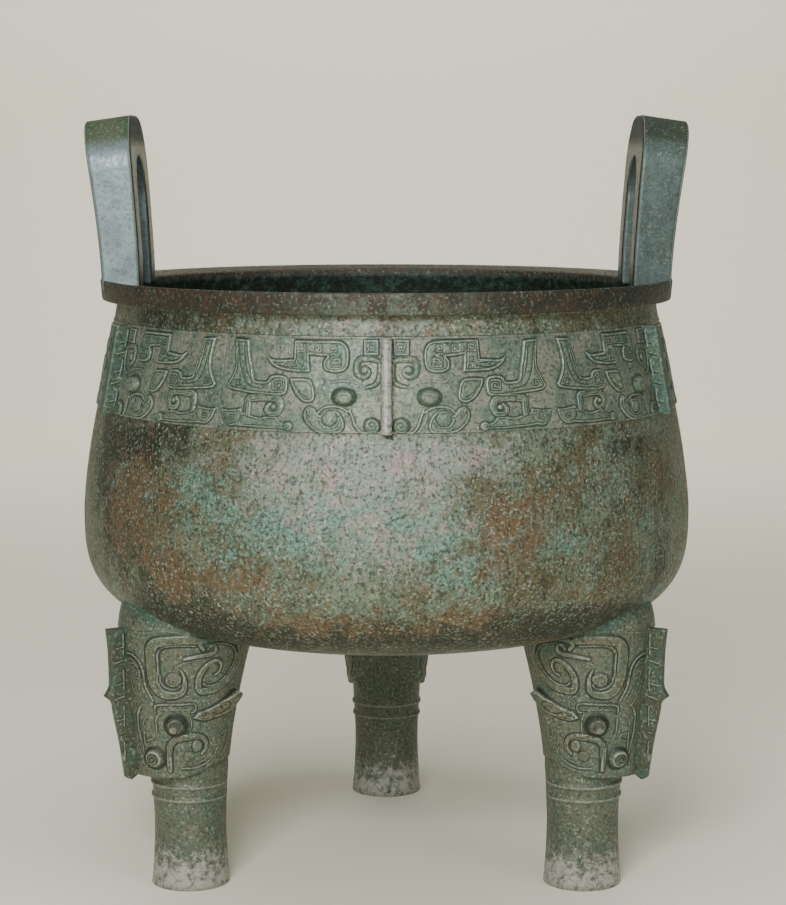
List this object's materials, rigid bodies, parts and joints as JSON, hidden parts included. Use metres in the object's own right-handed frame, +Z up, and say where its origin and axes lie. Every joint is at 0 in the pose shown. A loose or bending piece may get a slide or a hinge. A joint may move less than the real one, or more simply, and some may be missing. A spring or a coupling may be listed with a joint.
{
  "type": "bronze ding vessel",
  "caption": "Ancient round-bellied bronze ding on column legs, with upright loop ears on the rim and animal masks on its neck band and legs.",
  "frame": {"origin": "the middle of the whole vessel's box, in the plane that the feet stand on; the bowl's axis is 4.65 mm in front of it, at -Y", "axes": "+Z up; the ears stand at +X and -X; one mask of the neck band looks along -Y, and the single leg on the far side is at +Y"},
  "size_m": [0.8294, 0.8386, 1.019],
  "materials": {
    "patinated_bronze": "matte"
  },
  "bodies": {
    "root": {"vessel": "patinated_bronze"}
  },
  "joints": []
}
